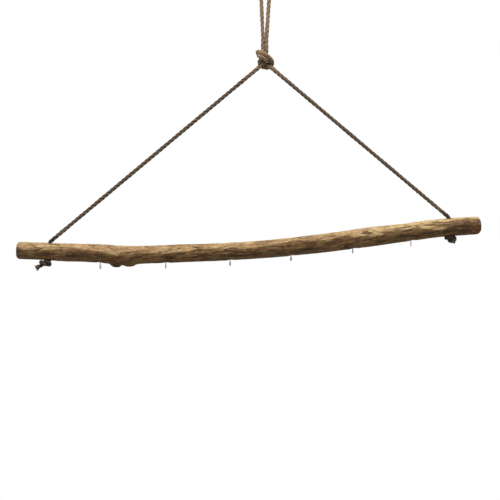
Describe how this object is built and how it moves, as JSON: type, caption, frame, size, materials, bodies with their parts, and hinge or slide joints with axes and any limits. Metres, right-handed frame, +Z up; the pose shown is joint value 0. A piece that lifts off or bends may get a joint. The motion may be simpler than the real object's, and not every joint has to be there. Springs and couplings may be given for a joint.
{
  "type": "hanging branch rail",
  "caption": "Natural branch hung level from a hook by one knotted rope that passes down through both its ends, with small screw eyes along its underside.",
  "frame": {"origin": "underside of the rope loop's top, where it rests on a hook", "axes": "+X to the right along the branch, +Y towards the back, +Z up"},
  "size_m": [0.8018, 0.0402, 0.5781],
  "materials": {
    "rope": "hairy natural fibre, three-strand laid",
    "branch_wood": "weathered, bark stripped",
    "eye_steel": "bright zinc plate"
  },
  "bodies": {
    "hook_bight": {"rope_hook_bight": "rope"},
    "loop_shoulders": {"rope_left_shoulder": "rope", "rope_right_shoulder": "rope"},
    "upper_legs": {"rope_left_upper_leg": "rope", "rope_right_upper_leg": "rope"},
    "gathering_knot": {"knot_strand_from_left": "rope", "knot_strand_from_right": "rope"},
    "lower_legs": {"rope_left_lower_leg": "rope", "rope_right_lower_leg": "rope"},
    "branch": {"branch": "branch_wood", "left_stopper_knot": "rope", "right_stopper_knot": "rope"},
    "eye_1": {"screw_eye_1": "eye_steel"},
    "eye_2": {"screw_eye_2": "eye_steel"},
    "eye_3": {"screw_eye_3": "eye_steel"},
    "eye_4": {"screw_eye_4": "eye_steel"},
    "eye_5": {"screw_eye_5": "eye_steel"},
    "eye_6": {"screw_eye_6": "eye_steel"}
  },
  "joints": [
    {"name": "side_swing", "type": "hinge", "parent": "hook_bight", "child": "loop_shoulders", "pos_m": [0, 0, -0.00895], "axis": [0, 1, 0], "range_deg": [-15, 15]},
    {"name": "fore_aft_sway", "type": "hinge", "parent": "loop_shoulders", "child": "upper_legs", "pos_m": [0, 0, -0.019], "axis": [1, 0, 0], "range_deg": [-30, 30]},
    {"name": "rope_twist", "type": "hinge", "parent": "upper_legs", "child": "gathering_knot", "pos_m": [-0.002, 0, -0.1805], "axis": [0, 0, 1], "range_deg": [-180, 180]},
    {"name": "branch_tilt", "type": "hinge", "parent": "gathering_knot", "child": "lower_legs", "pos_m": [-0.0015, 0, -0.2127], "axis": [0, 1, 0], "range_deg": [-15, 15]},
    {"name": "branch_roll", "type": "hinge", "parent": "lower_legs", "child": "branch", "pos_m": [-0.02845, 0, -0.4998], "axis": [0.9981, 0, 0.0618], "range_deg": [-25, 25]},
    {"name": "eye_1_turn", "type": "hinge", "parent": "branch", "child": "eye_1", "pos_m": [-0.2855, 0.00215, -0.5678], "axis": [0, 0, 1], "range_deg": [-90, 90]},
    {"name": "eye_2_turn", "type": "hinge", "parent": "branch", "child": "eye_2", "pos_m": [-0.1727, 0.00205, -0.56708], "axis": [0, 0, 1], "range_deg": [-90, 90]},
    {"name": "eye_3_turn", "type": "hinge", "parent": "branch", "child": "eye_3", "pos_m": [-0.0617, -0.001, -0.56242], "axis": [0, 0, 1], "range_deg": [-90, 90]},
    {"name": "eye_4_turn", "type": "hinge", "parent": "branch", "child": "eye_4", "pos_m": [0.0433, -0.00288, -0.55397], "axis": [0, 0, 1], "range_deg": [-90, 90]},
    {"name": "eye_5_turn", "type": "hinge", "parent": "branch", "child": "eye_5", "pos_m": [0.1495, -0.00199, -0.54121], "axis": [0, 0, 1], "range_deg": [-90, 90]},
    {"name": "eye_6_turn", "type": "hinge", "parent": "branch", "child": "eye_6", "pos_m": [0.25, 0.00125, -0.52898], "axis": [0, 0, 1], "range_deg": [-90, 90]}
  ]
}
